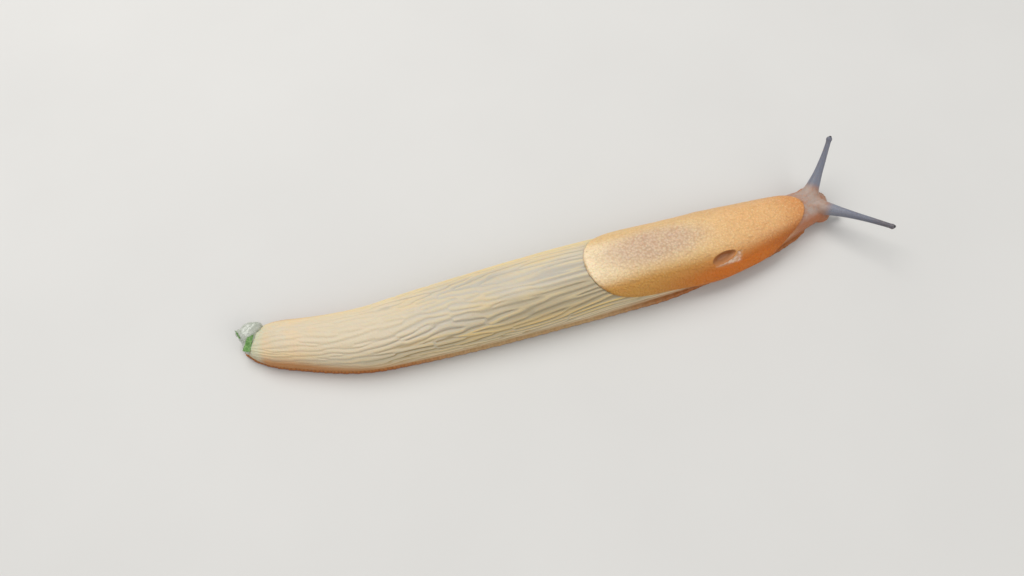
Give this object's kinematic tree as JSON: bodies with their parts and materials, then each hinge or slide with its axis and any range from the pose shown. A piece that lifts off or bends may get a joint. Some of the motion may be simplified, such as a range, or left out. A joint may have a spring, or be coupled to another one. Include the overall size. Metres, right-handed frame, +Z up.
{
  "type": "arion slug",
  "caption": "Slender crawling slug with a shield-like mantle, a breathing pore in its right side, raised tubercles, a fringed flat foot and eye stalks.",
  "frame": {"origin": "on the underside of the sole, under the midline of the body, halfway between the tail's end and the head's front", "axes": "+X along the body towards the head, +Y to the animal's left, +Z up from the ground"},
  "size_m": [0.1074, 0.0181, 0.0089],
  "materials": {
    "body": "moist satin skin, pale cream ridges with grey-blue grooves",
    "mantle": "moist satin skin, orange yellow with a brown-grey patch, finely grained",
    "head": "moist, slightly see-through grey-brown skin",
    "tentacle": "moist, slightly see-through lilac-grey skin",
    "fringe": "moist orange skin with fine upright lines",
    "sole": "smooth pale skin",
    "eye": "glossy near-black",
    "slime": "clear whitish slime"
  },
  "bodies": {
    "root": {"tail": "body", "body_rear": "body", "body_middle": "body", "body_front": "body", "mantle": "mantle", "neck": "head", "head": "head", "tentacle_upper_left": "tentacle", "tentacle_upper_right": "tentacle", "tentacle_lower_left": "tentacle", "tentacle_lower_right": "tentacle", "fringe_left_front": "fringe", "fringe_left_middle": "fringe", "fringe_left_rear": "fringe", "fringe_right_front": "fringe", "fringe_right_middle": "fringe", "fringe_right_rear": "fringe", "sole_front": "sole", "sole_middle": "sole", "sole_rear": "sole", "eye_left": "eye", "eye_right": "eye", "tail_slime": "slime"}
  },
  "joints": []
}
